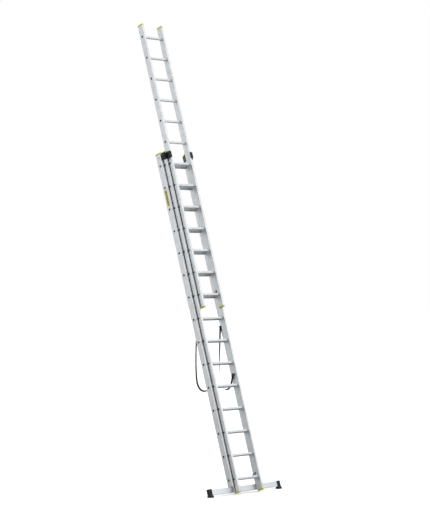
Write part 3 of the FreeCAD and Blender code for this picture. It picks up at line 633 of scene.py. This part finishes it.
def ribbon(mesh, uv_layer, points, across, closed=False, twist=0.0, late=1.0):
    """A flat woven strip along the points, as wide as the strap; across is its width.

    twist is how far it turns part-way along, as slack webbing does; late moves that on.
    Gives the length from the first point to the last."""
    rings = []
    run = [0.0]
    count = len(points)
    for one, other in zip(points, points[1:] + points[:1]):
        run.append(run[-1] + (other - one).length)
    for i, point in enumerate(points):
        before = points[i - 1] if i or closed else point
        after = points[(i + 1) % count] if i < count - 1 or closed else point
        onward = (after - before).normalized()
        turn = twist * math.sin(math.pi * (i / count) ** late) ** 2
        turned = Matrix.Rotation(turn, 3, onward) @ across
        out = turned.cross(onward).normalized()
        rings.append([point + turned * (u * STRAP_WIDE) + out * (v * STRAP_THICK)
                      for u, v in RIBBON])
    made = swept(mesh, rings + (rings[:1] if closed else []), close_ends=not closed)
    places = {}
    for i, ring in enumerate(made):
        for vertex, (u, v) in zip(ring, RIBBON):
            places[vertex] = (run[min(i, count)], u * STRAP_WIDE)
    for vertex in places:
        for loop in vertex.link_loops:
            loop[uv_layer].uv = places[vertex]
    return run[-2]


def round_pin(pin, radius, across, steps=28):
    """Points round a pin."""
    side = across.cross(Vector((0, 0, 1))).normalized()
    up = side.cross(across)
    return [pin + (side * math.cos(a) + up * math.sin(a)) * radius
            for a in (2 * math.pi * i / steps for i in range(steps))]


def sewn_eye(name, points, pin, across):
    """The strap's end taken round its pin and laid back along the strap."""
    mesh = bmesh.new()
    uv_layer = mesh.loops.layers.uv.new("weave")
    ribbon(mesh, uv_layer, round_pin(pin, EYE_RADIUS, across), across, closed=True)
    near = points[0]
    away = across.cross((points[END_POINT] - near).normalized()) * STRAP_THICK
    doubled = [p + away for p in points if (p - near).length < DOUBLED_LONG]
    ribbon(mesh, uv_layer, doubled, across)
    return finished(name, mesh, webbing, 50)


straps = {}
for side, sign, twist, late in (("left", -1, 48, 2.1), ("right", 1, -50, 1.0)):
    points = hanging_line(sign)
    end_to_end = points[-1] - points[0]
    across = Vector((end_to_end.y, -end_to_end.x, 0)).normalized()
    mesh = bmesh.new()
    uv_layer = mesh.loops.layers.uv.new("weave")
    length = ribbon(mesh, uv_layer, points, across, twist=math.radians(twist), late=late)
    strap = finished(f"{side}_webbing_strap", mesh, webbing, 50)
    eyes = []
    for where, body, run in (("rear", "rear_section", points),
                             ("middle", "hinge_carriage", points[::-1])):
        low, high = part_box(f"strap_pin_{where}_{side}")
        pin = Vector((run[0].x, (low[1] + high[1]) / 2, (low[2] + high[2]) / 2))
        eyes.append(sewn_eye(f"{side}_{where}_strap_eye", run, pin, across))
        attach(eyes[-1], body)
    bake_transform(strap)
    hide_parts(f"spreader_strap_{side}")
    straps[side] = (points, across)
    print(strap.name, round(length, 3), "m,", len(points), "points")

# %% [markdown]
# ## Rubber boots
# The boots are moulded: a sleeve with ribs round it that grips the bar's end, a waist, and
# a flared sole. A stack of rounded rectangles, narrower at the waist, is skinned from the
# sole up. The sole is cut flat where the leaning ladder meets the floor.

# %% Boots
BAR_HALF, BAR_MIDDLE, BOOT_WALL, BOOT_WIDE = 580.0, 17.0, 6.0, 56.0
SOLE_HALF_X, SOLE_HALF_Y, SOLE_ROUND, SOLE_EDGE, SOLE_LIFT = 32.8, 25.8, 5, 1.4, 1.5


def rounded_rectangle(half_x, half_y, round_off, steps=5):
    """Points round a rectangle with rounded corners."""
    points = []
    for quarter, (sx, sy) in enumerate(((1, 1), (-1, 1), (-1, -1), (1, -1))):
        for i in range(steps + 1):
            angle = math.pi / 2 * (quarter + i / steps)
            points.append((sx * (half_x - round_off) + round_off * math.cos(angle),
                           sy * (half_y - round_off) + round_off * math.sin(angle)))
    return points


def on_floor(x, y):
    """The height of the floor under a point, up the leaning ladder."""
    return (y * math.sin(LEAN) - STAND.z / MM) / math.cos(LEAN)


BOOT_LEVELS = [
    # height, half across, half deep, corner
    (12, 32.6, 25.6, 5), (16, 31.5, 24.5, 6), (20, 28.2, 21.2, 6), (32, 27.2, 20.4, 6),
    (36, 27.9, 20.9, 5), (40, 27.2, 20.4, 6), (52, 27.3, 20.5, 6), (56, 28, 21, 5),
    (60, 27.3, 20.5, 6), (72, 27.5, 20.6, 6), (88, 28, 20.9, 5), (92.5, 27.6, 20.6, 6),
    (94, 25.5, 18.5, 6),
]
for side, sign in (("left", -1), ("right", 1)):
    middle_x = sign * (BAR_HALF + BOOT_WALL - BOOT_WIDE / 2)
    mesh = bmesh.new()
    rings = []
    for lift, inset in ((0.0, SOLE_EDGE), (SOLE_LIFT, 0.0)):
        outline = rounded_rectangle(SOLE_HALF_X - inset, SOLE_HALF_Y - inset, SOLE_ROUND)
        rings.append([stood(middle_x + x, BAR_MIDDLE + y, on_floor(x, BAR_MIDDLE + y) + lift)
                      for x, y in outline])
    for z, half_x, half_y, corner in BOOT_LEVELS:
        rings.append([stood(middle_x + x, BAR_MIDDLE + y, z)
                      for x, y in rounded_rectangle(half_x, half_y, corner)])
    swept(mesh, rings, close_ends=True)
    boot = finished(f"{side}_rubber_boot", mesh, boot_rubber, 40)
    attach(boot, "rear_section")
    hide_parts(f"bar_boot_{side}")
    print(boot.name, len(boot.data.polygons), "faces")

# %% [markdown]
# ## Bolts and rivets
# The saddles are held by hexagon bolts with washers, and the brackets and guides by domed
# rivets. Each head is drawn once along z; a Geometry Nodes tree puts a copy on each point
# and turns it to face the way that the point says, then makes the copies real and gives
# them their finish.

# %% One bolt head and one rivet head


def turned_shape(name, steps, levels, material):
    """A shape of rings round z; levels are radius and height in mm, from the foot up."""
    mesh = bmesh.new()
    rings = []
    for radius, height in levels:
        rings.append([Vector((radius * math.cos(2 * math.pi * i / steps),
                              radius * math.sin(2 * math.pi * i / steps), height)) * MM
                      for i in range(steps)])
    swept(mesh, rings, close_ends=True)
    return finished(name, mesh, material, 30)


washer = turned_shape("washer", 24, [(7.4, -0.4), (7.4, 1.0), (7.0, 1.2), (3, 1.2)], zinc_metal)
hexagon = turned_shape("hexagon", 6, [(7.0, 1.1), (7.2, 1.5), (7.2, 4.3), (6.4, 4.9)], zinc_metal)
rivet = turned_shape("rivet", 16, [(4.5, -0.3), (4.5, 0.4), (3.9, 1.3), (2.4, 2.0), (0.8, 2.3)],
                     black_coat)


# %% The tree that sets heads on points


def heads_tree():
    """Puts a head on each point, its z turned to the point's own direction."""
    group = new_group("heads_on_points", Head="Object")
    asked = add(group, "NodeGroupInput").outputs
    head = add(group, "GeometryNodeObjectInfo", {"Object": asked["Head"]})
    facing = add(group, "GeometryNodeInputNamedAttribute", {"Name": "facing"},
                 data_type="FLOAT_VECTOR")
    turn = add(group, "FunctionNodeAlignRotationToVector", {"Vector": facing}, axis="Z")
    copies = add(group, "GeometryNodeInstanceOnPoints",
                 {"Points": asked["Geometry"], "Instance": head.outputs["Geometry"],
                  "Rotation": turn})
    real = add(group, "GeometryNodeRealizeInstances", {"Geometry": copies})
    made = add(group, "GeometryNodeSetMaterial", {"Geometry": real, "Material": asked["Finish"]})
    add(group, "NodeGroupOutput", {"Geometry": made})
    return group


heads_on_points = heads_tree()


def copies_at(name, head, finish, body, spots):
    """A copy of the head on each spot: a point of the scene and the way that it faces."""
    data = bpy.data.meshes.new(name)
    data.from_pydata([point for point, _ in spots], [], [])
    facing = data.attributes.new("facing", "FLOAT_VECTOR", "POINT")
    for i, (_, direction) in enumerate(spots):
        facing.data[i].vector = direction
    piece = bpy.data.objects.new(name, data)
    bpy.context.scene.collection.objects.link(piece)
    baked(piece, heads_on_points, Head=head, Finish=finish)
    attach(piece, body)
    print(name, len(spots), "copies")
    return piece


def heads(name, head, finish, body, places):
    """Heads at places, each a point in mm in the flat drawing and the way that it faces."""
    spots = [(stood(*place), lean.to_3x3() @ Vector(direction)) for place, direction in places]
    return copies_at(name, head, finish, body, spots)


# %% Bolts through the saddles and stiles
STILE_THICK = 27.0
REAR_OUTER = SECTIONS["rear"][0] / 2
REAR_MIDDLE = REAR_OUTER - STILE_THICK / 2
SADDLE_FRONT, SADDLE_BACK, SADDLE_UP, SIDE_BOLT_UP = -2, 36, 56, 112
bolt_places = []
for sign in (-1, 1):
    bolt_places.append(((sign * REAR_MIDDLE, SADDLE_FRONT, SADDLE_UP), (0, -1, 0)))
    bolt_places.append(((sign * REAR_MIDDLE, SADDLE_BACK, SADDLE_UP), (0, 1, 0)))
    bolt_places.append(((sign * REAR_OUTER, BAR_MIDDLE, SIDE_BOLT_UP), (sign, 0, 0)))
bolts = heads("saddle_hexagon_bolts", hexagon, zinc_metal, "rear_section",
              bolt_places)
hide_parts("saddle_bolts")
heads("saddle_washers", washer, zinc_metal, "rear_section", bolt_places)

# %% Rivets in the brackets and guides
# On each face: the rivets' place across and from front to back, and the way that they face.
BRACKET_RIVETS = [(219, -106, 0, -1), (232, -86, 1, 0)]
GUIDE_RIVETS = [(192.3, -140, 1, 0), (183, -163, 0, -1)]
RIVET_ROWS = (4168, 4220)


def rivet_places(faces):
    """The places of the rivets, on both sides of the ladder and in both rows."""
    return [((sign * x, y, z), (sign * face_x, face_y, 0)) for sign in (-1, 1)
            for z in RIVET_ROWS for x, y, face_x, face_y in faces]


heads("bracket_rivets", rivet, black_coat, "hinge_carriage",
      rivet_places(BRACKET_RIVETS))
heads("guide_rivets", rivet, black_coat, "middle_section",
      rivet_places(GUIDE_RIVETS))
for used in (washer, hexagon, rivet):
    bpy.data.objects.remove(used)

# %% [markdown]
# ## Catch springs
# A torsion spring sits round each catch's pin and holds the hook on its rung. It is round
# wire wound in a helix: a Geometry Nodes spiral gives the line, and a small circle swept
# along it gives the wire.

# %% The tree that winds a spring


def spring_tree():
    """A wound wire at the origin, along z. Inputs: turns, radius, height, wire."""
    group = new_group("wound_spring", Turns="Float", Radius="Float", Height="Float",
                      Wire="Float")
    asked = add(group, "NodeGroupInput").outputs
    line = add(group, "GeometryNodeCurveSpiral",
               {"Resolution": 28, "Rotations": asked["Turns"], "Start Radius": asked["Radius"],
                "End Radius": asked["Radius"], "Height": asked["Height"]})
    section = add(group, "GeometryNodeCurvePrimitiveCircle",
                  {"Resolution": 8, "Radius": asked["Wire"]})
    wire = add(group, "GeometryNodeCurveToMesh",
               {"Curve": line, "Profile Curve": section, "Fill Caps": True})
    made = add(group, "GeometryNodeSetMaterial", {"Geometry": wire, "Material": asked["Finish"]})
    add(group, "NodeGroupOutput", {"Geometry": made})
    return group


wound_spring = spring_tree()
SPRING_TURNS, SPRING_RADIUS, SPRING_LONG, SPRING_WIRE = 3.0, 5.4 * MM, 2.6 * MM, 0.5 * MM
for section in ("middle", "front"):
    for side in ("left", "right"):
        node = f"{section}_catch_spring_{side}"
        low, high = [Vector(corner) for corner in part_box(node)]
        middle = (low + high) / 2
        spring = bpy.data.objects.new(f"{node}_wire", bpy.data.meshes.new(f"{node}_wire"))
        bpy.context.scene.collection.objects.link(spring)
        baked(spring, wound_spring, Turns=SPRING_TURNS, Radius=SPRING_RADIUS,
              Height=SPRING_LONG, Wire=SPRING_WIRE, Finish=zinc_metal)
        on_pin = Matrix.Translation(middle) @ Matrix.Rotation(math.pi / 2, 4, "Y")
        spring.data.transform(on_pin @ Matrix.Translation((0, 0, -SPRING_LONG / 2)))
        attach(spring, f"{section}_section")
        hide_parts(node)
print("four springs")

# %% [markdown]
# ## Stitches and ribs
# Each strap's end is doubled back and sewn with a box of stitches. A stitch is a short round
# of thread, and the tree that set the bolts sets the stitches too. The caps and feet have
# moulded ribs round them, which are rounded rectangles swept round a small half-round.

# %% Stitches at the straps' ends
stitch = turned_shape("stitch", 8, [(0.25, -1.5), (0.45, -1.2), (0.45, 1.2), (0.25, 1.5)],
                      thread)
STITCH_PROUD = 3.1 * MM
ROW_OUT, BOX_START, BOX_END, STITCH_STEP = 8.5, 14, 60, 4
for side in ("left", "right"):
    points, across = straps[side]
    for where, body, run in (("rear", "rear_section", points),
                             ("middle", "hinge_carriage", points[::-1])):
        onward = (run[END_POINT] - run[0]).normalized()
        out = across.cross(onward) * STITCH_PROUD
        box = []
        for row in (-ROW_OUT, ROW_OUT):
            box += [(row, along, onward) for along in range(BOX_START + 2, BOX_END, STITCH_STEP)]
        for along in (BOX_START, BOX_END):
            box += [(row, along, across) for row in range(-8, 9, STITCH_STEP)]
        spots = [(run[0] + across * (row * MM) + onward * (along * MM) + out, direction)
                 for row, along, direction in box]
        copies_at(f"{side}_{where}_stitches", stitch, thread, body, spots)
bpy.data.objects.remove(stitch)

# %% Ribs round the caps and feet
RIB_SHAPE = [(-0.9, -0.3), (0.9, -0.3), (0.7, 0.3), (0.35, 0.55), (-0.35, 0.55), (-0.7, 0.3)]
CAP_HALF_X, CAP_HALF_Y, CAP_ROUND = 14.1, 42.6, 4
CAP_RIBS, FOOT_RIBS = (-17, -11), (6, 11)  # heights from the stile's top or foot


def ribs(name, section, end, heights):
    """Half-round ribs round both stiles' ends of a section; heights are from that end, in mm."""
    wide, middle_y = SECTIONS[section][:2]
    middle_x = (wide - STILE_THICK) / 2
    mesh = bmesh.new()
    for side in (-1, 1):
        for height in heights:
            rings = []
            for up, proud in RIB_SHAPE:
                outline = rounded_rectangle(CAP_HALF_X + proud, CAP_HALF_Y + proud, CAP_ROUND)
                rings.append([stood(side * middle_x + x, middle_y + y, end + height + up)
                              for x, y in outline])
            swept(mesh, rings + rings[:1])
    bmesh.ops.remove_doubles(mesh, verts=mesh.verts, dist=1e-6)
    piece = finished(name, mesh, yellow_plastic, 40)
    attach(piece, f"{section}_section")
    print(name, 2 * len(heights), "ribs")


LONG_TOP, SHORT_LOW, SHORT_TOP = 4256, 2240, 5936
ribs("rear_cap_ribs", "rear", LONG_TOP, CAP_RIBS)
ribs("middle_cap_ribs", "middle", LONG_TOP, CAP_RIBS)
ribs("front_cap_ribs", "front", SHORT_TOP, CAP_RIBS)
ribs("middle_foot_ribs", "middle", 0, FOOT_RIBS)
ribs("front_foot_ribs", "front", SHORT_LOW, FOOT_RIBS)

# %% A last update of the view layer
bpy.context.view_layer.update()
